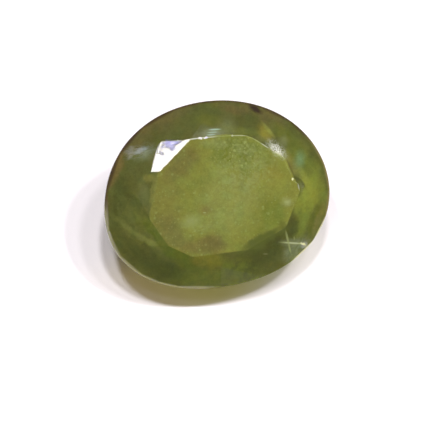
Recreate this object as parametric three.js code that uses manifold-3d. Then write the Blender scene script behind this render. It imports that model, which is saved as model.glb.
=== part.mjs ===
// An oval, hand-cut vesuvianite gemstone, 12.0 x 9.9 mm, lying on one of its lower pavilion facets.
// Millimetres, +Z up. The stone is cut in its own frame (table up, girdle in the XY plane), then
// leaned over until the facet it lies on is level, and set down on Z = 0 over the origin.

import * as THREE from 'three';
import { mergeVertices } from 'three/addons/utils/BufferGeometryUtils.js';
import Module from 'manifold-3d';

const deg = THREE.MathUtils.degToRad;

// Girdle outline: an ellipse with a few slight lobes left by cutting it by hand.
const GIRDLE_HALF_LENGTH = 6.035;
const GIRDLE_HALF_WIDTH = 4.935;
const GIRDLE_LOBES = [
  { count: 3, share: 0.0195, peak: deg(-27.5) },
  { count: 4, share: 0.009, peak: deg(37) },
  { count: 5, share: 0.0015, peak: deg(-7) },
];
const GIRDLE_STEPS = 180;
const GIRDLE_HALF_THICKNESS = 0.17;

// Crown: a wide table set a little towards one end, with a star on each of its edges and a kite
// below each of its corners. Where a kite was cut too far out, its lift keeps it off the corner. The
// star that follows a corner points out from halfway along its edge and part of the way to the girdle.
// Where it was cut unlike the rest, it has its own share along the edge, its own reach or a drop.
const TABLE_HEIGHT = 0.92;
const TABLE_CORNERS = [
  { x: -0.75, y: 3.18, lift: 0 },
  { x: 0.94, y: 3.05, lift: 0.01 },
  { x: 2.27, y: 2.74, lift: 0.007, along: 0.87, reach: 0.51, drop: 0.04 },
  { x: 3.9, y: 1.19, lift: 0 },
  { x: 4.3, y: -0.66, lift: 0.015 },
  { x: 3.18, y: -2.36, lift: 0 },
  { x: 1.03, y: -3.08, lift: 0.01 },
  { x: -1.97, y: -2.83, lift: 0 },
  { x: -2.99, y: -2.06, lift: 0.01 },
  { x: -3.69, y: -0.46, lift: 0 },
  { x: -2.68, y: 1.86, lift: 0.09, along: 0.58, reach: 0.45 },
];
const STAR_ALONG = 0.5;
const STAR_REACH = 0.4;

// Pavilion: three rows of facets that bulge below the girdle, and a small culet.
const CULET_DEPTH = 4.95;
const LOWEST_ROW = { count: 8, turn: 0, slope: deg(29.4), apexDepth: 5.04 };
const RINGS = [
  { depth: GIRDLE_HALF_THICKNESS, scale: 1 },
  { depth: 1.9, scale: 0.84 },
  { depth: 3.38, scale: 0.585 },
];
const UPPER_ROW = { count: 16, turn: deg(11.25), wobble: 0.012 };
const MIDDLE_ROW = { count: 8, turn: deg(22.5), wobble: 0.015 };

// Rest: which way the stone leans, in its own frame and over the ground.
const REST_AZIMUTH = deg(-92.5);
const LEAN_AZIMUTH = deg(-79.1);

// Chips: shallow hollows knocked out of an edge, as balls sunk into the finished stone.
const CHIPS = [
  { at: [4.07, 0.01, 1.71], radius: 0.8 },
  { at: [4.82, -0.31, 2.19], radius: 1.4 },
  { at: [4.16, -3.6, 0.65], radius: 0.45 },
];
const CHIP_DETAIL = 15;

// Half the width of the blocks that cut the facets, well over the size of the stone.
const BLOCK_HALF = 20;

const wasm = await Module();
wasm.setup();

function toManifold(geometry) {
  const bare = geometry.clone();
  bare.deleteAttribute('normal');
  bare.deleteAttribute('uv');
  const merged = mergeVertices(bare, 1e-5);
  return new wasm.Manifold(new wasm.Mesh({
    numProp: 3,
    vertProperties: new Float32Array(merged.attributes.position.array),
    triVerts: new Uint32Array(merged.index.array),
  }));
}

function toGeometry(solid) {
  const mesh = solid.getMesh();
  const geometry = new THREE.BufferGeometry();
  geometry.setAttribute('position', new THREE.BufferAttribute(mesh.vertProperties.slice(), 3));
  geometry.setIndex(new THREE.BufferAttribute(mesh.triVerts.slice(), 1));
  geometry.computeVertexNormals();
  return geometry;
}

// The outline's point at an angle of the ellipse's parameter.
function girdlePoint(angle, scale = 1, z = 0) {
  let swell = 1;
  for (const lobe of GIRDLE_LOBES) {
    swell += lobe.share * Math.cos(lobe.count * (angle - lobe.peak));
  }
  const x = GIRDLE_HALF_LENGTH * Math.cos(angle) * swell * scale;
  const y = GIRDLE_HALF_WIDTH * Math.sin(angle) * swell * scale;
  return new THREE.Vector3(x, y, z);
}

// The outline's outward direction at that angle.
function girdleNormal(angle) {
  const step = deg(0.5);
  const along = girdlePoint(angle + step).sub(girdlePoint(angle - step));
  return new THREE.Vector3(along.y, -along.x, 0).normalize();
}

function tablePoint(corner) {
  return new THREE.Vector3(corner.x, corner.y, TABLE_HEIGHT);
}

// The angle of the outline's parameter that a table corner faces.
function angleOf(corner) {
  return Math.atan2(corner.y / GIRDLE_HALF_WIDTH, corner.x / GIRDLE_HALF_LENGTH);
}

// Halfway round from one angle to another, the short way.
function angleBetween(from, to) {
  const turn = Math.atan2(Math.sin(to - from), Math.cos(to - from));
  return from + turn / 2;
}

// A facet plane through three points, facing away from the middle of the stone.
function planeThrough(a, b, c) {
  const plane = new THREE.Plane().setFromCoplanarPoints(a, b, c);
  return plane.distanceToPoint(new THREE.Vector3()) > 0 ? plane.negate() : plane;
}

// A facet plane through two points, one above the other, level along the outline's direction.
function planeAcross(upper, lower, outward) {
  const level = new THREE.Vector3(-outward.y, outward.x, 0);
  return planeThrough(upper, lower, upper.clone().add(level));
}

function heightOn(plane, x, y) {
  return -(plane.normal.x * x + plane.normal.y * y + plane.constant) / plane.normal.z;
}

// The block of stone outside a facet plane, to be ground away.
function blockOutside(plane) {
  const block = new THREE.BoxGeometry(2 * BLOCK_HALF, 2 * BLOCK_HALF, 2 * BLOCK_HALF);
  const turn = new THREE.Quaternion().setFromUnitVectors(new THREE.Vector3(0, 0, 1), plane.normal);
  const centre = plane.normal.clone().multiplyScalar(BLOCK_HALF - plane.constant);
  block.applyQuaternion(turn);
  block.translate(centre.x, centre.y, centre.z);
  return toManifold(block);
}

// The rough: a straight-sided blank of the girdle's outline.
function makeBlank() {
  const outline = new THREE.Shape();
  for (let i = 0; i < GIRDLE_STEPS; i += 1) {
    const point = girdlePoint((2 * Math.PI * i) / GIRDLE_STEPS);
    if (i === 0) {
      outline.moveTo(point.x, point.y);
    } else {
      outline.lineTo(point.x, point.y);
    }
  }
  const blank = new THREE.ExtrudeGeometry(outline, {
    depth: TABLE_HEIGHT + CULET_DEPTH,
    bevelEnabled: false,
  });
  blank.translate(0, 0, -CULET_DEPTH);
  return toManifold(blank);
}

// The kites: each runs from a table corner down to the girdle.
function kitePlanes() {
  return TABLE_CORNERS.map((corner) => {
    const angle = angleOf(corner);
    const top = tablePoint(corner);
    top.z += corner.lift;
    const foot = girdlePoint(angle, 1, GIRDLE_HALF_THICKNESS);
    return planeAcross(top, foot, girdleNormal(angle));
  });
}

// The stars and the pairs of girdle facets between one kite and the next.
function planesBetweenKites(kites) {
  const planes = [];
  TABLE_CORNERS.forEach((corner, i) => {
    const next = (i + 1) % TABLE_CORNERS.length;
    const from = tablePoint(corner);
    const to = tablePoint(TABLE_CORNERS[next]);
    const angles = [angleOf(corner), angleOf(TABLE_CORNERS[next])];
    const middle = girdlePoint(angleBetween(...angles), 1, GIRDLE_HALF_THICKNESS);
    const start = from.clone().lerp(to, corner.along ?? STAR_ALONG);
    const tip = start.lerp(middle, corner.reach ?? STAR_REACH);
    tip.z = Math.min(heightOn(kites[i], tip.x, tip.y), heightOn(kites[next], tip.x, tip.y));
    tip.z -= corner.drop ?? 0;
    planes.push(planeThrough(from, to, tip));
    for (const angle of angles) {
      planes.push(planeThrough(tip, middle, girdlePoint(angle, 1, GIRDLE_HALF_THICKNESS)));
    }
  });
  return planes;
}

// A row of pavilion facets, each level along the outline and running from one ring to the next.
function ringRow(row, upper, lower) {
  const planes = [];
  for (let i = 0; i < row.count; i += 1) {
    const angle = REST_AZIMUTH + row.turn + (2 * Math.PI * i) / row.count;
    const push = 1 + row.wobble * Math.sin(2.4 * i + 0.7);
    const top = girdlePoint(angle, upper.scale, -upper.depth);
    const bottom = girdlePoint(angle, lower.scale * push, -lower.depth);
    planes.push(planeAcross(top, bottom, girdleNormal(angle)));
  }
  return planes;
}

// The lowest row: its facets meet in a point under the stone, and the first is the one it lies on.
function lowestRow() {
  const reach = (azimuth) => Math.hypot(
    GIRDLE_HALF_LENGTH * Math.cos(azimuth),
    GIRDLE_HALF_WIDTH * Math.sin(azimuth),
  );
  const apex = new THREE.Vector3(0, 0, -LOWEST_ROW.apexDepth);
  const planes = [];
  for (let i = 0; i < LOWEST_ROW.count; i += 1) {
    const azimuth = REST_AZIMUTH + LOWEST_ROW.turn + (2 * Math.PI * i) / LOWEST_ROW.count;
    const slope = Math.atan((Math.tan(LOWEST_ROW.slope) * reach(REST_AZIMUTH)) / reach(azimuth));
    const normal = new THREE.Vector3(
      Math.sin(slope) * Math.cos(azimuth),
      Math.sin(slope) * Math.sin(azimuth),
      -Math.cos(slope),
    );
    planes.push(new THREE.Plane().setFromNormalAndCoplanarPoint(normal, apex));
  }
  return planes;
}

function cutStone() {
  const kites = kitePlanes();
  const planes = [
    ...kites,
    ...planesBetweenKites(kites),
    ...ringRow(UPPER_ROW, RINGS[0], RINGS[1]),
    ...ringRow(MIDDLE_ROW, RINGS[1], RINGS[2]),
    ...lowestRow(),
  ];
  let stone = makeBlank();
  for (const plane of planes) {
    stone = stone.subtract(blockOutside(plane));
  }
  for (const chip of CHIPS) {
    const ball = new THREE.IcosahedronGeometry(chip.radius, CHIP_DETAIL);
    ball.translate(...chip.at);
    stone = stone.subtract(toManifold(ball));
  }
  return toGeometry(stone);
}

// Leans the stone over onto its resting facet and sets it down with its box centred over the origin.
function setDown(geometry) {
  geometry.rotateZ(-REST_AZIMUTH);
  geometry.rotateY(LOWEST_ROW.slope);
  geometry.rotateZ(LEAN_AZIMUTH);
  geometry.computeBoundingBox();
  const box = geometry.boundingBox;
  const centre = box.getCenter(new THREE.Vector3());
  geometry.translate(-centre.x, -centre.y, -box.min.z);
  return geometry;
}

const stoneMaterial = new THREE.MeshStandardMaterial({
  color: 0x7c823c,
  roughness: 0.15,
  metalness: 0,
});

const gemstone = new THREE.Mesh(setDown(cutStone()), stoneMaterial);
gemstone.name = 'gemstone';

const part = new THREE.Group();
part.add(gemstone);

export default part;
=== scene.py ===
# The looks of an oval, hand-cut vesuvianite gemstone, lying on white paper under a row of lamps.
# Metres, +Z up. The camera looks along +Y and down onto the stone's table.

import math
from dataclasses import dataclass

import bmesh
import bpy
from mathutils import Matrix, Vector


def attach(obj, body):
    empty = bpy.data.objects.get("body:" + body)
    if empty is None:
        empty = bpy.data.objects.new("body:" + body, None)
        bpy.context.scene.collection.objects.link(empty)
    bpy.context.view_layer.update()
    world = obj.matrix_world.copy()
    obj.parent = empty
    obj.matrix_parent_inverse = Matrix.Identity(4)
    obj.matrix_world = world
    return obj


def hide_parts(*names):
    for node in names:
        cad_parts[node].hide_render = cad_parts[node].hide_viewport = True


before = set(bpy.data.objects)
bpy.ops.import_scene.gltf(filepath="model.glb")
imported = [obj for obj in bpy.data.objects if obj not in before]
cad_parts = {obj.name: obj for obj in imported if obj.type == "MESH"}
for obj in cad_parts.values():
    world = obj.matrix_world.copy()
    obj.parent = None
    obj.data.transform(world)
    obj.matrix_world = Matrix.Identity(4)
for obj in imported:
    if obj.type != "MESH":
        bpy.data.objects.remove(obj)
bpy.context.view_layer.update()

MM = 0.001

# The picture's frame, and where the origin falls in it, in pixels.
PICTURE_SIZE = 430
MILLIMETRES_PER_PIXEL = 0.05304
ORIGIN_PIXEL = (216.8, 234.1)

# The camera: high over the stone's near side, through a long lens.
CAMERA_ELEVATION = math.radians(61)
CAMERA_DISTANCE = 0.5
SENSOR_WIDTH = 36.0
CLIP_START = 0.01

# How the stone lies: the middle of its girdle, and how far and which way its table leans.
GIRDLE_MIDDLE = Vector((-0.0751, -0.1061, 4.3909)) * MM
TABLE_SLOPE = math.radians(29.4)
TABLE_AZIMUTH = math.radians(-79.1)

# The stone's own heights over the middle of its girdle, in millimetres.
TABLE_HEIGHT = 0.92
GIRDLE_HALF_THICKNESS = 0.17

# The floor: white paper.
FLOOR_SIZE = 0.4
FLOOR_COLOUR = (0.86, 0.85, 0.85, 1)

# The lamps, a row of small discs overhead: which way each is for one metre of height, and its power.
LAMP_DISTANCE = 0.3
LAMP_RADIUS = 0.013
LAMPS = {
    "far_right": {"towards": (0.437, -0.049), "power": 0.42},
    "right": {"towards": (0.259, -0.05), "power": 0.15},
    "overhead": {"towards": (0.04, -0.07), "power": 0.39},
    "left": {"towards": (-0.15, -0.043), "power": 0.33},
}
LAMP_COLOUR = (1.0, 0.955, 1.0)
ROOM_COLOUR = (1.0, 0.95, 0.96, 1)
ROOM_STRENGTH = 0.06

# The small lamp that the upper left star facet mirrors: a point on that facet, in pixels.
MIRROR_PIXEL = (166, 156)
MIRROR_LAMP = {"radius": 0.016, "power": 0.05}

# The stone's mesh: how near two corners are to be one, and how far a facet's triangles may bend.
WELD_DISTANCE = 0.0005 * MM
FACET_BEND = math.radians(0.5)

# How wide the bevel is asked to wear the stone's edges, and how many faces go round each. It gets
# nowhere near: Blender clamps it to the shortest edge, and the mesh moves by about 0.0001 mm.
FACET_EDGE_WEAR = 0.03 * MM
TABLE_EDGE_WEAR = 0.035 * MM
RIM_WEAR = 0.07 * MM
WEAR_SEGMENTS = 3

# Which edges it is asked for: none that bend less than this, and no short ones beside a tiny facet.
# The rim reaches a little past the girdle's own thickness, and the table's edges are at almost its height.
LEAST_WORN_BEND = math.radians(4)
SHORTEST_FACET_EDGE = 0.15 * MM
SMALLEST_FACET = 0.05 * MM ** 2
RIM_REACH = 1.2 * GIRDLE_HALF_THICKNESS
TABLE_EDGE_HEIGHT = 0.99 * TABLE_HEIGHT

# The edges inside a chip bend less than this, and stay smooth.
CHIP_BEND = math.radians(12)

# The stone's colours as the camera sees them, in 8-bit sRGB, and how far its body lifts them.
BODY_GAIN = (1.2, 1.23, 1.19)
COLOURS = {
    # The table is lighter than the crown partly by the stone's own zoning and partly as painted light: the
    # brilliance that the pavilion sends back up through the table.
    "table": (129, 133, 61),
    "table_grey": (137, 144, 76),
    "table_green": (116, 126, 52),
    "table_dull": (124, 124, 61),
    "table_brown": (119, 115, 61),
    "table_straw": (136, 136, 60),
    "crown": (93, 96, 46),
    "dusty": (111, 115, 66),
    "vivid": (94, 104, 36),
    "deep": (83, 87, 40),
    "darkest": (76, 82, 36),
    "shade": (92, 99, 44),
    "moss": (102, 109, 43),
    "leaf": (117, 126, 54),
    "lime": (134, 141, 58),
    "glow": (148, 153, 72),
    "straw": (136, 130, 54),
    "gold": (116, 114, 44),
    "olive": (103, 95, 53),
    "brown": (119, 104, 58),
    "tan": (124, 112, 76),
    "umber": (56, 42, 34),
    "streak": (116, 122, 62),
    "veil": (134, 139, 96),
    "sage": (134, 142, 108),
    "milk": (156, 164, 106),
    "mint": (116, 146, 104),
    # Violet, ice, silver, cream and white stand for painted reflections and highlights of the lamps. Frost
    # and mist are mostly painted light, in the feather and along the rim. Milk, sage and veil serve both
    # for pale parts of the stone and for painted highlights and sheen.
    "violet": (142, 143, 194),
    "frost": (152, 159, 158),
    "mist": (160, 160, 152),
    "ice": (160, 184, 164),
    "silver": (205, 208, 190),
    "cream": (226, 224, 176),
    "white": (250, 250, 244),
    "fleck": (158, 168, 98),
    "rim_dark": (74, 62, 42),
    "rim_brown": (126, 117, 80),
    # The pale and cream rim colours are painted light: the girdle band lit on the near side.
    "rim_lit_pale": (152, 149, 122),
    "rim_highlight_cream": (226, 222, 184),
    "pavilion": (104, 106, 46),
}


@dataclass
class Patch:
    """A cloud, stain, inclusion or mark in the stone, or a painted highlight, reflection or shade on it.

    Its middle is a pixel of the picture, its half sizes are in millimetres, and its turn, in
    degrees, is as the camera sees it. Then come its colour, how much of it shows and how soft its
    edge is. A streaked or specked one is broken up, and a drifting one has a ragged outline.
    """

    name: str
    pixel: tuple
    size: tuple
    turn: float
    colour: str
    show: float
    soft: float = 0.5
    texture: str = "plain"
    drifts: bool = True


def line(name, start, end, half_width, colour, show):
    """A thin straight mark from one pixel of the picture to another."""
    across = end[0] - start[0]
    down = end[1] - start[1]
    middle = ((start[0] + end[0]) / 2, (start[1] + end[1]) / 2)
    size = (math.hypot(across, down) / 2 * MILLIMETRES_PER_PIXEL, half_width)
    turn = math.degrees(math.atan2(-down, across))
    return Patch(name, middle, size, turn, colour, show, drifts=False)


# The crown's patches, from the broad and deep to the fine and shallow.
CROWN_PATCHES = [
    Patch("top_left_olive", (150, 127), (2.8, 0.6), 36, "olive", 0.85),
    Patch("top_olive", (238, 108), (1.1, 0.35), -4, "olive", 0.8),
    Patch("top_right_olive", (272, 120), (0.8, 0.45), -32, "olive", 0.8),
    Patch("top_moss", (208, 120), (0.7, 0.3), 0, "moss", 0.6),
    Patch("top_deep", (246, 121), (0.6, 0.4), 0, "deep", 0.6),
    Patch("above_table", (245, 132), (1.2, 0.24), -10, "leaf", 0.35),
    Patch("upper_left_deep", (158, 132), (0.8, 0.35), 30, "deep", 0.4),
    Patch("left_edge_brown", (114, 168), (1.2, 0.34), 68, "brown", 0.9),
    Patch("left_rim_tan", (106, 204), (0.7, 0.1), 90, "tan", 0.8),
    Patch("left_deep", (120, 196), (0.9, 0.4), 85, "deep", 0.8),
    Patch("left_moss", (140, 214), (1.1, 0.24), -66, "moss", 0.6),
    Patch("left_table_side", (144, 196), (0.8, 0.3), -84, "dusty", 0.45),
    Patch("left_table_strip", (153.5, 190), (0.85, 0.16), 80, "table_dull", 0.75, 0.4),
    Patch("left_dark_stroke", (134, 201), (1.0, 0.2), -58, "deep", 0.95),
    Patch("left_deep_low", (120, 216), (0.8, 0.34), 75, "deep", 0.8),
    Patch("left_table_top", (149.5, 178), (0.3, 0.2), 0, "table_dull", 0.7),
    Patch("lower_left_deep", (148, 261), (2.0, 0.5), -34, "deep", 0.95),
    Patch("lower_left_darkest", (170, 270), (0.9, 0.35), -18, "darkest", 0.8),
    Patch("band_upper", (154, 230), (0.8, 0.24), -52, "vivid", 0.85),
    Patch("band_lower", (171, 250), (1.1, 0.3), -38, "vivid", 0.85),
    Patch("band_end", (186, 263), (0.7, 0.3), -25, "vivid", 0.7),
    Patch("bottom_moss", (208, 277), (1.5, 0.4), 0, "moss", 0.8),
    Patch("bottom_gold", (208, 260), (0.9, 0.4), -6, "gold", 0.95),
    Patch("lower_right_deep", (262, 256), (1.5, 0.5), 34, "deep", 0.95),
    Patch("lower_right_grey", (295.5, 251), (0.75, 0.5), 40, "sage", 0.42),
    Patch("lower_right_smoke", (297.5, 247.5), (0.7, 0.45), 60, "sage", 0.4, 0.7, "streaked"),
    Patch("right_leaf", (308, 172), (1.7, 0.6), -62, "leaf", 0.8),
    Patch("right_star", (291.5, 163), (0.75, 0.22), -64, "table_dull", 0.85),
    Patch("right_arc", (306, 181), (0.7, 0.2), -60, "glow", 0.75, 0.8),
    Patch("right_streak", (304.5, 213), (0.85, 0.11), 87, "glow", 0.75, 0.8),
    Patch("right_lime", (309, 198), (1.1, 0.45), 82, "lime", 1.0),
    Patch("right_lime_side", (298.5, 205), (0.5, 0.2), 75, "lime", 0.85),
    Patch("right_edge_leaf", (321, 202), (1.1, 0.2), 84, "leaf", 0.8),
    Patch("right_low_leaf", (302, 222), (0.9, 0.35), 75, "leaf", 0.9),
    Patch("right_moss", (310, 225), (0.6, 0.13), 85, "moss", 0.7),
    Patch("upper_right_moss", (286, 136), (1.0, 0.35), -42, "moss", 0.8),
    Patch("right_edge_moss", (318, 217), (0.8, 0.25), 72, "moss", 0.8),
    Patch("right_edge_olive", (319, 218), (0.9, 0.16), 70, "table_brown", 0.7),
    Patch("bottom_strokes", (238, 271), (0.7, 1.3), 80, "moss", 0.9, 0.6, "streaked"),
    Patch("straw_wedge", (265.5, 133.5), (0.42, 0.26), -52, "straw", 0.9, 0.8),
    line("wedge_line", (262.5, 122.5), (274, 137), 0.09, "glow", 0.4),
    Patch("streak_outer", (126, 226.5), (0.8, 0.12), -41, "streak", 0.5, 0.8),
    Patch("streak_inner", (145, 239), (0.9, 0.13), -33, "streak", 0.85, 0.8),
    Patch("streak_glow", (151, 242.5), (0.3, 0.14), -30, "glow", 0.35, 0.9),
    Patch("streak_low", (123, 244), (0.7, 0.1), -48, "streak", 0.4, 0.7, "streaked"),
    Patch("band_strokes", (138, 222), (2.0, 0.9), -52, "streak", 0.3, 0.6, "streaked"),
    Patch("dark_wedge", (292, 227), (0.52, 0.34), 82, "deep", 0.85, 0.3),
    # Painted highlight: a soft cyan-green glint on the crown at the right.
    Patch("mint_sheen", (299.5, 160), (0.36, 0.24), 75, "mint", 0.65, 0.9),
    # Painted sheen: a lamp's faint reflection on a star facet at the top of the crown.
    Patch("upper_sheen", (227, 127), (0.5, 0.4), 80, "veil", 0.35, 0.9),
    Patch("top_inclusion", (255, 108.5), (0.36, 0.17), -36, "umber", 0.95, 0.6),
    # A feather inside the stone, painted with the bluish light that it reflects: partly the feather
    # itself, partly painted reflection.
    Patch("left_feather_reflection", (140, 151.5), (0.66, 0.28), 12, "mist", 0.48, 0.9, "streaked"),
    Patch("feather_reflection_core", (140.5, 150.3), (0.3, 0.1), 25, "frost", 0.85, 0.9),
    Patch("feather_reflection_start", (130, 150.5), (0.22, 0.12), 30, "frost", 0.35, 0.9),
    Patch("feather_reflection_tip", (150, 150.5), (0.32, 0.11), 8, "sage", 0.4, 0.9),
    Patch("feather_reflection_tail", (130, 155), (0.2, 0.09), 65, "mist", 0.3, 0.9),
    Patch("feather_reflection_cloud", (145, 157), (0.5, 0.2), 0, "sage", 0.3, 0.9),
]

# The table's patches.
TABLE_PATCHES = [
    Patch("table_middle", (228, 200), (1.4, 1.8), -20, "table_grey", 0.85),
    Patch("table_top_green", (240, 155), (1.1, 0.8), 0, "table_green", 0.8),
    Patch("table_top_grey", (256, 163), (0.45, 0.8), 10, "table_grey", 0.4),
    Patch("table_top_left", (180, 163), (1.3, 0.6), 45, "table_brown", 0.8),
    Patch("table_left", (164, 205), (1.0, 1.3), 0, "table_dull", 0.8),
    Patch("table_lower_left", (172, 236), (1.3, 0.7), -35, "table_brown", 0.8),
    Patch("table_low", (208, 246), (1.1, 0.5), 0, "table_brown", 0.95),
    Patch("table_right", (273, 178), (0.9, 0.9), 0, "table_straw", 0.7),
    Patch("table_right_low", (272, 212), (0.7, 0.7), 0, "table_green", 0.7),
    Patch("table_lower_right", (268, 227), (0.9, 0.25), 25, "table_green", 0.6),
    Patch("table_top_light", (244, 149), (0.55, 0.3), 0, "milk", 0.35),
    Patch("table_top_left_light", (216, 143.5), (0.7, 0.26), -5, "milk", 0.3),
    Patch("table_specks", (245, 165), (1.2, 1.4), 0, "milk", 0.35, 0.7, "specked"),
    Patch("table_dark_specks", (238, 150), (1.2, 0.7), 0, "moss", 0.4, 0.7, "specked"),
]

# The patches and marks on both, shallowest of all.
MARKS = [
    Patch("lower_right_shade", (263, 241), (1.2, 0.34), 28, "shade", 0.95, 0.4),
    Patch("dark_wedge_left", (284, 226), (0.36, 0.2), -55, "shade", 0.6, 0.7),
    Patch("milk_spot", (287, 202), (0.24, 0.2), 0, "milk", 0.6, 0.9),
    Patch("milk_core", (287.3, 202.3), (0.12, 0.1), 0, "milk", 1.0, 0.9),
    Patch("milk_blotch", (191, 221.5), (0.42, 0.3), 20, "milk", 0.5, 0.9),
    Patch("milk_wisp", (202, 229), (0.5, 0.2), 20, "milk", 0.3, 0.9, "streaked"),
    Patch("smudge", (205, 210.5), (0.3, 0.22), 20, "brown", 0.5, 0.8),
    Patch("smudge_light", (204.5, 212.3), (0.07, 0.05), 0, "milk", 0.8, 0.6),
    Patch("low_smudge", (214, 244), (0.5, 0.3), 0, "olive", 0.4, 0.9),
    # Painted reflections: the overhead lamp mirrored in stripes on the top star facet, over a faint
    # painted sheen.
    Patch("stripe_sheen", (213, 132.5), (0.5, 0.22), 4, "sage", 0.6, 0.8),
    line("stripe_reflection_high", (209.5, 129.8), (220, 129.2), 0.04, "ice", 0.95),
    line("stripe_reflection_middle", (208, 132.6), (217, 132), 0.04, "ice", 0.6),
    line("stripe_reflection_low", (207, 135), (215, 134.4), 0.04, "ice", 0.6),
    # Painted reflection: the violet of the mirrored lamp where the upper left star facet's polish scatters
    # it, and a painted highlight along the facet's left edge.
    Patch("star_reflected_violet", (171.5, 145.6), (0.17, 0.22), 20, "violet", 0.9, 0.7),
    Patch("star_reflected_violet_band", (172, 142.3), (0.42, 0.11), 4, "violet", 1.0),
    Patch("star_reflected_violet_left", (166, 146), (0.22, 0.12), 30, "violet", 0.9, 0.6, "streaked"),
    Patch("star_reflected_marks", (161, 153), (0.16, 0.08), -30, "violet", 0.6, 0.6, "streaked"),
    line("star_top_shade", (167, 140.7), (183, 139.6), 0.055, "deep", 0.9),
    line("star_left_edge_highlight", (158, 147), (152.3, 166), 0.028, "white", 0.8),
    # Painted highlights: the lamps' light along the table's edges, as pale lines and beads.
    line("table_top_left_edge_highlight", (189, 139.4), (200, 138.2), 0.024, "silver", 0.9),
    line("table_top_edge_highlight", (199, 138.2), (217, 136.6), 0.024, "silver", 0.75),
    line("table_top_middle_edge_highlight", (216, 136.6), (232, 135.6), 0.022, "milk", 0.6),
    line("table_top_right_edge_highlight", (231, 135.6), (246, 135.6), 0.022, "silver", 0.45),
    line("table_upper_right_edge_highlight", (246, 135.8), (253, 138.4), 0.022, "milk", 0.5),
    line("table_right_upper_edge_highlight", (252.5, 138.2), (262, 144), 0.024, "milk", 0.6),
    line("rough_upper_edge_highlight", (261.5, 143.6), (268, 147.8), 0.026, "silver", 0.5),
    Patch("edge_glint_left", (200, 138.2), (0.09, 0.05), 5, "white", 1.0),
    Patch("edge_glint_middle", (205.3, 137.8), (0.08, 0.05), 5, "white", 1.0),
    Patch("edge_glint_right", (232.3, 135.6), (0.05, 0.03), 0, "silver", 0.6),
    # A rough, worn patch on the upper right star facet. Its silver, cream and veil are the lamps' painted
    # sheen on it, and the line at its edge a painted highlight.
    Patch("rough_patch_sheen", (276.8, 149.5), (0.5, 0.24), -42, "silver", 0.75, 0.8, "specked"),
    Patch("rough_core_sheen", (279.5, 154), (0.2, 0.06), -48, "cream", 0.2, 0.9),
    Patch("rough_start_sheen", (271, 145.5), (0.25, 0.12), -35, "sage", 0.7, 0.9, "specked"),
    Patch("rough_corner_sheen", (283.5, 141), (0.26, 0.2), 60, "veil", 0.35, 0.8),
    line("rough_edge_highlight", (274, 152), (282.5, 157.5), 0.035, "milk", 0.6),
    # Painted highlight along the table's right edge, beside its painted shade.
    line("table_right_edge_highlight", (284, 159), (292, 177), 0.02, "milk", 0.3),
    line("table_right_shade", (287.5, 161), (293.5, 174), 0.06, "olive", 0.5),
    # The chip, with painted shade and glints: a dark crescent, pale lines and a bright dot.
    line("chip_shade_high", (294, 177), (301, 180.3), 0.07, "deep", 0.75),
    line("chip_shade_low", (300.5, 180), (305, 187.5), 0.07, "deep", 0.75),
    Patch("chip_inside", (301.3, 186.6), (0.13, 0.22), 10, "sage", 0.4, 0.9, "streaked"),
    line("chip_upper_glint", (294.4, 181.3), (298, 183.9), 0.02, "milk", 0.75),
    line("chip_lower_glint", (298, 183.8), (299.2, 189.6), 0.03, "silver", 0.5),
    Patch("chip_glint_dot", (292.3, 179.3), (0.075, 0.045), -60, "cream", 1.0),
    Patch("lower_right_haze", (291, 242.5), (0.6, 0.2), 0, "sage", 0.4),
    # Scratches near the lower right rim, drawn as the lamps' light that they catch: real wear with painted
    # highlights.
    line("scratch_glint_level", (281, 242.3), (303, 243.8), 0.055, "milk", 0.9),
    line("scratch_glint_level_core", (285, 242.6), (301, 243.5), 0.03, "silver", 0.5),
    line("scratch_glint_upright", (286.2, 234), (291, 252), 0.05, "milk", 0.6),
    line("scratch_glint_upright_top", (285.5, 231), (288.3, 242), 0.06, "milk", 0.5),
    line("scratch_glint_upright_low", (289, 246.5), (290.5, 251.5), 0.05, "milk", 0.5),
    line("scratch_glint_mark", (294, 236.5), (294.3, 240), 0.03, "milk", 0.5),
    Patch("scratch_haze", (304.3, 245.2), (0.2, 0.11), 40, "mist", 0.75),
    Patch("scratch_glint_end", (302.8, 243.6), (0.14, 0.05), -12, "cream", 0.9, 0.6),
    line("low_dash", (263, 254), (268, 254), 0.03, "veil", 0.6),
    # Painted light: the girdle band lit pale along the near left rim.
    Patch("left_lit_rim", (107.9, 231), (0.5, 0.08), -68, "mist", 0.9),
]

# Half the depth of every patch, in millimetres.
PATCH_DEPTH = 1.1

# How streaked and specked patches are broken up: by noise over this share of a patch, which starts
# to show at the one level and shows in full at the other. Streaks are also drawn out.
STREAKS = {"over": 0.15, "levels": (0.38, 0.6)}
STREAK_LENGTH = 3
SPECKS = {"over": 0.11, "levels": (0.38, 0.56)}

# How far the patches' outlines wander, and over what distance, in millimetres: broadly and finely.
BROAD_DRIFT = {"by": 0.5, "over": 1.1}
FINE_DRIFT = {"by": 0.1, "over": 0.25}

# The wear that scatters the lamps' mirror images: how deep each patch of it is, in millimetres.
ROUGH_PATCHES = {
    "rough_patch_sheen": 0.004,
    "star_reflected_violet": 0.01,
    "star_reflected_violet_band": 0.01,
    "star_reflected_violet_left": 0.008,
    "star_reflected_marks": 0.008,
    "star_top_shade": 0.014,
}

# The rest of the surface's relief, in millimetres: the ripple left by polishing, and how large the
# scuffs in the worn patches are.
RIPPLE_OVER = 0.7
RIPPLE_HEIGHT = 0.004
SCUFFS_OVER = 0.09

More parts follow.
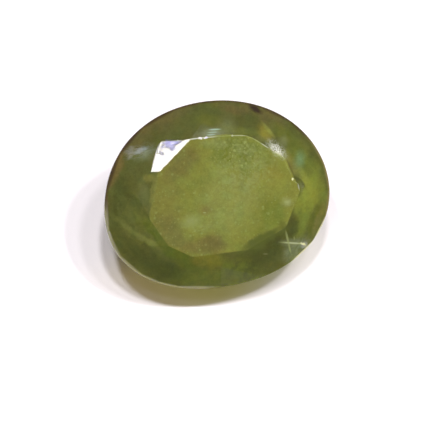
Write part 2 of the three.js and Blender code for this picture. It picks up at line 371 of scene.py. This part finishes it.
# The body's cloudiness: the least light in it, and the noises that add to it, over these distances
# in millimetres. Its hue drifts between browner and greener by a noise of its own.
LEAST_LIGHT = 0.38
CLOUDS = [
    {"over": 1.0, "detail": 3, "roughness": 0.5, "adds": 0.34},
    {"over": 0.3, "detail": 3, "roughness": 0.6, "adds": 0.5},
    {"over": 0.09, "detail": 2, "roughness": 0.6, "adds": 0.4},
]
HUE_OVER = 0.7
HUE_LEVELS = (0.35, 0.65)
BROWNER = (1.03, 0.99, 0.96, 1)
GREENER = (0.97, 1.01, 1.02, 1)

# The heights, in millimetres, over which the pavilion's colour turns into the crown's and the
# crown's into the table's.
PAVILION_TO_CROWN = (-0.8, 0.2)
CROWN_TO_TABLE = (TABLE_HEIGHT - 0.02, TABLE_HEIGHT - 0.004)

# The flecks are tiny pits and inclusions, painted as the glints of the lamps in them.
# The table's pale flecks, in millimetres: how wide the cell is that each is in, and its radius. The
# cells reach right through the stone, and a share of them have a fleck, whose edge fades from the
# first number of radii to the second. Flecks show more where the table is green.
FLECKS = [{"cell": 0.3, "radius": 0.06}, {"cell": 0.16, "radius": 0.03}]
FLECK_CELL_DEPTH = 100
FLECK_SHARE = 0.4
FLECK_EDGE = (1.8, 0.4)
FLECKS_SHOW = 0.35
FLECKS_SHOW_IN_GREEN = 0.5

# The lines of colour along the girdle's edge, in the stone's own frame and in millimetres: the
# side or the box that each is on, the heights at which it starts to show and shows in full, and how
# much it then shows. The one on the far side is browner at the right. The others fade in over these
# shares of their box's half size.
FAR_RIM = {"y": (-2.2, -0.6), "heights": (0.24, 0.17), "show": 0.9}
BROWNER_RIM_X = (4.4, 5.4)
# The near lines are painted light: the lit girdle band, pale at the left and a cream highlight at the
# right.
NEAR_LEFT_RIM = {
    "at": (-3.6, -3.6, 0),
    "turn": math.radians(-38),
    "size": (4.2, 2.2, 9),
    "fade": (1.15, 0.75),
    "heights": (0.22, 0.175),
    "show": 0.85,
}
NEAR_RIGHT_RIM = {
    "at": (5.1, -2.2, 0),
    "turn": math.radians(59),
    "size": (1.6, 1.5, 9),
    "fade": (1.1, 0.8),
    "heights": (0.18, 0.16),
    "show": 0.9,
}

# What the stone lets through towards the floor: a share of each colour at each surface. Its near
# side and its right end are clear, and the rest throws the light elsewhere.
CLEAR_LEFT = (0.327, 0.267, 0.097, 1)
CLEAR_MIDDLE = (0.343, 0.312, 0.088, 1)
CLEAR_RIGHT = (0.445, 0.44, 0.45, 1)
BARELY_CLEAR = (0.17, 0.135, 0.12, 1)

# Where that changes, in the stone's own frame and in millimetres.
NEAR_SIDE_Y = (-1.4, -2.7)
RIGHT_END_Y = (1.5, -0.5)
RIGHT_END_X = (3.2, 4.6)
MIDDLE_TO_LEFT_X = (-0.5, -4)
LEFT_TO_RIGHT_X = (-1, 4.8)

# The stone's body: polished, of vesuvianite's refractive index, cloudy and green right through.
BODY = {
    "Roughness": 0.12,
    "IOR": 1.71,
    "Transmission Weight": 0.3,
    "Subsurface Weight": 1.0,
    "Subsurface Radius": (1.0, 1.0, 0.4),
    "Subsurface Scale": 1.2 * MM,
}
BODY_ABSORPTION = {"Color": (0.55, 0.60, 0.12, 1), "Density": 400.0}

# The Mix node has sockets of the same names for each kind of data. These are its colour ones.
MIX_FIRST = 6
MIX_SECOND = 7
MIX_RESULT = 2


class Graph:
    """Short calls for building a node tree: an input is a plain value or another node's output."""

    def __init__(self, tree):
        self.tree = tree

    def node(self, kind, settings=None, **inputs):
        node = self.tree.nodes.new("ShaderNode" + kind)
        for name, value in (settings or {}).items():
            setattr(node, name, value)
        for name, value in inputs.items():
            self.feed(node.inputs[name.replace("_", " ")], value)
        return node

    def feed(self, socket, value):
        if isinstance(value, bpy.types.NodeSocket):
            self.tree.links.new(value, socket)
        else:
            socket.default_value = value

    def place(self, points, at, turns, sizes):
        """Points as seen from a box with this middle, turned so and with these half sizes."""
        node = self.node("Mapping", {"vector_type": "TEXTURE"}, Vector=points)
        node.inputs["Location"].default_value = at
        node.inputs["Rotation"].default_value = turns
        node.inputs["Scale"].default_value = sizes
        return node.outputs["Vector"]

    def vector(self, operation, first, second=(0, 0, 0), third=(0, 0, 0)):
        node = self.node("VectorMath", {"operation": operation})
        self.feed(node.inputs[0], first)
        self.feed(node.inputs[1], second)
        self.feed(node.inputs[2], third)
        return node.outputs["Value" if operation == "LENGTH" else "Vector"]

    def number(self, operation, first, second=0.0, third=0.0):
        node = self.node("Math", {"operation": operation})
        self.feed(node.inputs[0], first)
        self.feed(node.inputs[1], second)
        self.feed(node.inputs[2], third)
        return node.outputs["Value"]

    def fade(self, value, start, end, low=0.0, high=1.0):
        """From low where the value is at the start to high where it is at the end, smoothly."""
        node = self.node("MapRange", {"interpolation_type": "SMOOTHSTEP"}, Value=value)
        node.inputs["From Min"].default_value = start
        node.inputs["From Max"].default_value = end
        node.inputs["To Min"].default_value = low
        node.inputs["To Max"].default_value = high
        return node.outputs["Result"]

    def noise(self, points, over, detail=2.0, roughness=0.5, output="Fac"):
        """Noise whose lumps are about as long as the distance that it is over."""
        node = self.node("TexNoise", None, Vector=points, Scale=1 / over, Detail=detail)
        node.inputs["Roughness"].default_value = roughness
        return node.outputs[output]

    def mix(self, factor, first, second, blend="MIX"):
        """The first colour with a share of the second laid over it, or blended with it."""
        node = self.node("Mix", {"data_type": "RGBA", "blend_type": blend})
        self.feed(node.inputs["Factor"], factor)
        self.feed(node.inputs[MIX_FIRST], first)
        self.feed(node.inputs[MIX_SECOND], second)
        return node.outputs[MIX_RESULT]


def linear(channel):
    """One 8-bit sRGB channel as an amount of light."""
    share = channel / 255
    return share / 12.92 if share <= 0.04045 else ((share + 0.055) / 1.055) ** 2.4


def body_colour(name):
    """The shader's colour for one of the stone's colours as seen."""
    lifted = [gain * linear(channel) for gain, channel in zip(BODY_GAIN, COLOURS[name])]
    return (*lifted, 1)


def stone_turn():
    """The stone's own axes: z straight out of the table, and x to the right as seen."""
    level = math.sin(TABLE_SLOPE)
    normal = Vector(
        (level * math.cos(TABLE_AZIMUTH), level * math.sin(TABLE_AZIMUTH), math.cos(TABLE_SLOPE))
    )
    right = Vector((1, 0, 0))
    across = (right - right.dot(normal) * normal).normalized()
    return Matrix((across, normal.cross(across), normal)).transposed()


def view_axes():
    """The camera's right, its up and the way back to it."""
    right = Vector((1, 0, 0))
    up = Vector((0, math.sin(CAMERA_ELEVATION), math.cos(CAMERA_ELEVATION)))
    back = Vector((0, -math.cos(CAMERA_ELEVATION), math.sin(CAMERA_ELEVATION)))
    return right, up, back


def picture_point(pixel):
    """The point level with the origin, as the camera sees it, that a pixel falls on."""
    right, up, _ = view_axes()
    across = (pixel[0] - ORIGIN_PIXEL[0]) * MILLIMETRES_PER_PIXEL * MM
    rise = (ORIGIN_PIXEL[1] - pixel[1]) * MILLIMETRES_PER_PIXEL * MM
    return right * across + up * rise


def make_camera():
    data = bpy.data.cameras.new("camera")
    data.sensor_width = SENSOR_WIDTH
    picture_width = PICTURE_SIZE * MILLIMETRES_PER_PIXEL * MM
    data.lens = SENSOR_WIDTH * CAMERA_DISTANCE / picture_width
    data.clip_start = CLIP_START
    camera = bpy.data.objects.new("camera", data)
    _, _, back = view_axes()
    middle = (PICTURE_SIZE / 2, PICTURE_SIZE / 2)
    camera.location = picture_point(middle) + back * CAMERA_DISTANCE
    camera.rotation_euler = (math.pi / 2 - CAMERA_ELEVATION, 0, 0)
    bpy.context.scene.collection.objects.link(camera)
    bpy.context.scene.camera = camera
    return camera


def point_on_stone(node, camera, pixel):
    """Where a pixel of the picture falls on the stone, and which way the surface faces there."""
    start = camera.location
    _, place, normal, _ = node.ray_cast(start, picture_point(pixel) - start)
    return place, normal


def make_lamp(name, direction, radius, power, target=Vector()):
    data = bpy.data.lights.new(name, "AREA")
    data.shape = "DISK"
    data.size = 2 * radius
    data.energy = power
    data.color = LAMP_COLOUR
    lamp = bpy.data.objects.new(name, data)
    lamp.location = target + direction.normalized() * LAMP_DISTANCE
    lamp.rotation_euler = direction.to_track_quat("Z", "Y").to_euler()
    bpy.context.scene.collection.objects.link(lamp)


def make_lights(camera, node):
    scene = bpy.context.scene
    scene.view_settings.view_transform = "Standard"
    scene.cycles.use_denoising = True
    world = bpy.data.worlds.new("room")
    world.use_nodes = True
    background = world.node_tree.nodes["Background"]
    background.inputs["Color"].default_value = ROOM_COLOUR
    background.inputs["Strength"].default_value = ROOM_STRENGTH
    scene.world = world
    for name, lamp in LAMPS.items():
        make_lamp(name, Vector((*lamp["towards"], 1)), LAMP_RADIUS, lamp["power"])
    place, normal = point_on_stone(node, camera, MIRROR_PIXEL)
    to_camera = (camera.location - place).normalized()
    mirrored = 2 * normal.dot(to_camera) * normal - to_camera
    make_lamp("mirrored", mirrored, MIRROR_LAMP["radius"], MIRROR_LAMP["power"], place)


def make_floor():
    mesh = bpy.data.meshes.new("floor")
    half = FLOOR_SIZE / 2
    corners = [(-half, -half, 0), (half, -half, 0), (half, half, 0), (-half, half, 0)]
    mesh.from_pydata(corners, [], [(0, 1, 2, 3)])
    material = bpy.data.materials.new("paper")
    material.use_nodes = True
    shader = material.node_tree.nodes["Principled BSDF"]
    shader.inputs["Base Color"].default_value = FLOOR_COLOUR
    shader.inputs["Roughness"].default_value = 1.0
    shader.inputs["Specular IOR Level"].default_value = 0.0
    mesh.materials.append(material)
    floor = bpy.data.objects.new("floor", mesh)
    bpy.context.scene.collection.objects.link(floor)


def edge_wear(edge, heights):
    """The wear asked for: most round the girdle, less round the table, least elsewhere."""
    levels = [heights[vertex.index] for vertex in edge.verts]
    if all(abs(level) < RIM_REACH for level in levels):
        return RIM_WEAR
    smallest = min(face.calc_area() for face in edge.link_faces)
    if edge.calc_length() < SHORTEST_FACET_EDGE and smallest < SMALLEST_FACET:
        return 0.0
    if all(level > TABLE_EDGE_HEIGHT for level in levels):
        return TABLE_EDGE_WEAR
    return FACET_EDGE_WEAR


def make_stone(node):
    """The stone with its facets whole. The bevel leaves its edges sharp, as it is clamped."""
    shape = bmesh.new()
    shape.from_mesh(node.data)
    bmesh.ops.remove_doubles(shape, verts=shape.verts, dist=WELD_DISTANCE)
    bmesh.ops.dissolve_limit(shape, angle_limit=FACET_BEND, verts=shape.verts, edges=shape.edges)
    shape.verts.index_update()
    turn_back = stone_turn().inverted()
    heights = [(turn_back @ (vertex.co - GIRDLE_MIDDLE)).z / MM for vertex in shape.verts]
    wear = shape.edges.layers.float.new("bevel_weight_edge")
    for edge in shape.edges:
        bend = edge.calc_face_angle(0)
        if bend > LEAST_WORN_BEND:
            edge[wear] = edge_wear(edge, heights) / RIM_WEAR
        edge.smooth = edge[wear] > 0 or bend < CHIP_BEND
    for face in shape.faces:
        face.smooth = True
    mesh = bpy.data.meshes.new("stone")
    shape.to_mesh(mesh)
    shape.free()
    stone = bpy.data.objects.new("stone", mesh)
    bpy.context.scene.collection.objects.link(stone)
    worn = stone.modifiers.new("worn_edges", "BEVEL")
    worn.limit_method = "WEIGHT"
    worn.width = RIM_WEAR
    worn.segments = WEAR_SEGMENTS
    weigh = stone.modifiers.new("facets_flat", "WEIGHTED_NORMAL")
    weigh.keep_sharp = True
    return stone


def drifted(graph, points, drift):
    """Points moved about by a smooth noise."""
    noise = graph.noise(points, drift["over"], output="Color")
    parts = graph.node("SeparateColor", None, Color=noise).outputs
    noise = graph.node("CombineXYZ", None, X=parts["Red"], Y=parts["Green"], Z=parts["Blue"])
    centred = graph.vector("SUBTRACT", noise.outputs["Vector"], (0.5, 0.5, 0.5))
    by = drift["by"]
    return graph.vector("MULTIPLY_ADD", centred, (2 * by, 2 * by, 2 * by), points)


def broken_up(graph, points, kind):
    """A mask of streaks or of specks."""
    noise = graph.noise(points, kind["over"], detail=3, roughness=0.6)
    return graph.fade(noise, *kind["levels"])


def patch_mask(graph, points, patch, at):
    """How much a patch shows at a point: most in its middle, nothing past its edge."""
    turns = (0, 0, math.radians(patch.turn))
    sizes = [2 * half for half in (*patch.size, PATCH_DEPTH)]
    seen_from = graph.place(points, at, turns, sizes)
    ball = graph.node("TexGradient", {"gradient_type": "SPHERICAL"}, Vector=seen_from)
    inside = ball.outputs["Fac"]
    mask = graph.fade(inside, (1 - patch.soft) / 2, (1 + patch.soft) / 2, 0, patch.show)
    if patch.texture == "streaked":
        drawn_out = graph.place(seen_from, (0, 0, 0), (0, 0, 0), (STREAK_LENGTH, 1, 1))
        mask = graph.number("MULTIPLY", mask, broken_up(graph, drawn_out, STREAKS))
    if patch.texture == "specked":
        mask = graph.number("MULTIPLY", mask, broken_up(graph, seen_from, SPECKS))
    return mask


def paint_patches(graph, colour, patches, points, places, masks):
    """The colour with these patches laid over it, one by one. Their masks are kept by name."""
    fine = drifted(graph, points, FINE_DRIFT)
    broad = drifted(graph, fine, BROAD_DRIFT)
    for patch in patches:
        small = max(patch.size) < BROAD_DRIFT["over"]
        seen = (fine if small else broad) if patch.drifts else points
        masks[patch.name] = patch_mask(graph, seen, patch, places[patch.name])
        colour = graph.mix(masks[patch.name], colour, body_colour(patch.colour))
    return colour


def paint_glinting_flecks(graph, colour, points, show, cell, radius):
    """Tiny pale flecks, one at most in each cell of this width: pits and inclusions painted with the
    lamps' glints.
    """
    flat = graph.place(points, (0, 0, 0), (0, 0, 0), (cell, cell, FLECK_CELL_DEPTH))
    cells = graph.node("TexVoronoi", {"feature": "F1"}, Vector=flat, Scale=1.0)
    start, end = FLECK_EDGE
    dot = graph.fade(cells.outputs["Distance"], start * radius / cell, end * radius / cell)
    pick = graph.node("SeparateColor", None, Color=cells.outputs["Color"]).outputs["Red"]
    picked = graph.number("LESS_THAN", pick, FLECK_SHARE)
    mask = graph.number("MULTIPLY", graph.number("MULTIPLY", dot, picked), show)
    return graph.mix(mask, colour, body_colour("fleck"))


def near_rim_line(graph, points, height, rim):
    """How much a line along one part of the near rim shows."""
    seen_from = graph.place(points, rim["at"], (0, 0, rim["turn"]), rim["size"])
    along = graph.fade(graph.vector("LENGTH", seen_from), *rim["fade"], 0, rim["show"])
    return graph.number("MULTIPLY", graph.fade(height, *rim["heights"]), along)


def paint_rim(graph, colour, points, height):
    """The girdle's edge: dark on the far side. On the near side painted light, the lit girdle band, pale
    at the left and a cream highlight at the right.
    """
    place = graph.node("SeparateXYZ", None, Vector=points)
    far = graph.fade(place.outputs["Y"], *FAR_RIM["y"])
    at_rim = graph.fade(height, *FAR_RIM["heights"], 0, FAR_RIM["show"])
    browner = graph.fade(place.outputs["X"], *BROWNER_RIM_X)
    dark = graph.mix(browner, body_colour("rim_dark"), body_colour("rim_brown"))
    colour = graph.mix(graph.number("MULTIPLY", at_rim, far), colour, dark)
    # Painted light along the near rim: the lit girdle band.
    lit_rim_line = near_rim_line(graph, points, height, NEAR_LEFT_RIM)
    colour = graph.mix(lit_rim_line, colour, body_colour("rim_lit_pale"))
    rim_highlight_line = near_rim_line(graph, points, height, NEAR_RIGHT_RIM)
    return graph.mix(rim_highlight_line, colour, body_colour("rim_highlight_cream"))


def mottled(graph, colour, points):
    """The colour with the body's cloudiness: lighter and darker, greener and browner."""
    light = LEAST_LIGHT
    for cloud in CLOUDS:
        noise = graph.noise(points, cloud["over"], cloud["detail"], cloud["roughness"])
        light = graph.number("MULTIPLY_ADD", noise, cloud["adds"], light)
    hue = graph.fade(graph.noise(points, HUE_OVER, detail=3), *HUE_LEVELS)
    tint = graph.mix(hue, BROWNER, GREENER)
    light = graph.node("CombineColor", None, Red=light, Green=light, Blue=light).outputs["Color"]
    return graph.mix(1.0, graph.mix(1.0, colour, tint, "MULTIPLY"), light, "MULTIPLY")


def stone_colour(graph, points, places):
    """The body's colour: crown, table and pavilion with patches in them. The table is lighter than the
    crown partly by the stone's zoning and partly as painted light that the pavilion sends back up. Also
    each patch's mask.
    """
    masks = {}
    height = graph.node("SeparateXYZ", None, Vector=points).outputs["Z"]
    above = graph.fade(height, *PAVILION_TO_CROWN)
    crown = graph.mix(above, body_colour("pavilion"), body_colour("crown"))
    crown = paint_patches(graph, crown, CROWN_PATCHES, points, places, masks)
    table = paint_patches(graph, body_colour("table"), TABLE_PATCHES, points, places, masks)
    on_table = graph.fade(height, *CROWN_TO_TABLE)
    colour = mottled(graph, graph.mix(on_table, crown, table), points)
    green = masks["table_top_green"]
    show = graph.number("MULTIPLY_ADD", green, FLECKS_SHOW_IN_GREEN, FLECKS_SHOW)
    show = graph.number("MULTIPLY", show, on_table)
    for flecks in FLECKS:
        colour = paint_glinting_flecks(graph, colour, points, show, flecks["cell"], flecks["radius"])
    colour = paint_patches(graph, colour, MARKS, points, places, masks)
    return paint_rim(graph, colour, points, height), masks


def stone_relief(graph, points, masks):
    """The surface's height in millimetres: a faint ripple from polishing, and worn patches."""
    relief = graph.number("MULTIPLY", graph.noise(points, RIPPLE_OVER), RIPPLE_HEIGHT)
    scuffs = graph.noise(points, SCUFFS_OVER, roughness=0.6)
    for name, depth in ROUGH_PATCHES.items():
        worn = graph.number("MULTIPLY", masks[name], depth)
        relief = graph.number("MULTIPLY_ADD", worn, scuffs, relief)
    return relief


def light_let_through(graph, points):
    """The share of the lamps' light that passes each surface of the stone on its way down."""
    place = graph.node("SeparateXYZ", None, Vector=points)
    across, up = place.outputs["X"], place.outputs["Y"]
    near_side = graph.fade(up, *NEAR_SIDE_Y)
    low = graph.fade(up, *RIGHT_END_Y)
    right_end = graph.number("MULTIPLY", low, graph.fade(across, *RIGHT_END_X))
    clear = graph.number("MAXIMUM", near_side, right_end)
    tint = graph.mix(graph.fade(across, *MIDDLE_TO_LEFT_X), CLEAR_MIDDLE, CLEAR_LEFT)
    tint = graph.mix(graph.fade(across, *LEFT_TO_RIGHT_X), tint, CLEAR_RIGHT)
    return graph.mix(clear, BARELY_CLEAR, tint)


def make_material(places):
    material = bpy.data.materials.new("vesuvianite")
    material.use_nodes = True
    graph = Graph(material.node_tree)
    shader = graph.tree.nodes["Principled BSDF"]
    output = graph.tree.nodes["Material Output"]

    metres = graph.node("TexCoord").outputs["Object"]
    points = graph.place(metres, GIRDLE_MIDDLE, stone_turn().to_euler("XYZ"), (MM, MM, MM))
    colour, masks = stone_colour(graph, points, places)
    graph.feed(shader.inputs["Base Color"], colour)
    relief = stone_relief(graph, points, masks)
    bump = graph.node("Bump", None, Height=relief, Distance=MM)
    graph.feed(shader.inputs["Normal"], bump.outputs["Normal"])

    for name, value in BODY.items():
        shader.inputs[name].default_value = value
    absorption = graph.node("VolumeAbsorption", None, **BODY_ABSORPTION)
    graph.feed(output.inputs["Volume"], absorption.outputs["Volume"])

    rays = graph.node("LightPath")
    clear = graph.node("BsdfTransparent", None, Color=light_let_through(graph, points))
    surface = graph.node("MixShader")
    graph.feed(surface.inputs[0], rays.outputs["Is Shadow Ray"])
    graph.feed(surface.inputs[1], shader.outputs["BSDF"])
    graph.feed(surface.inputs[2], clear.outputs["BSDF"])
    graph.feed(output.inputs["Surface"], surface.outputs["Shader"])
    return material


def patch_places(node, camera):
    """Where each patch lies on the stone, in the stone's own frame and in millimetres."""
    turn_back = stone_turn().inverted()
    places = {}
    for patch in CROWN_PATCHES + TABLE_PATCHES + MARKS:
        place, _ = point_on_stone(node, camera, patch.pixel)
        places[patch.name] = turn_back @ (place - GIRDLE_MIDDLE) / MM
    return places


cut_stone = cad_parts["gemstone"]
camera = make_camera()
make_lights(camera, cut_stone)
make_floor()
stone = make_stone(cut_stone)
stone.data.materials.append(make_material(patch_places(cut_stone, camera)))
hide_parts("gemstone")
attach(stone, "root")
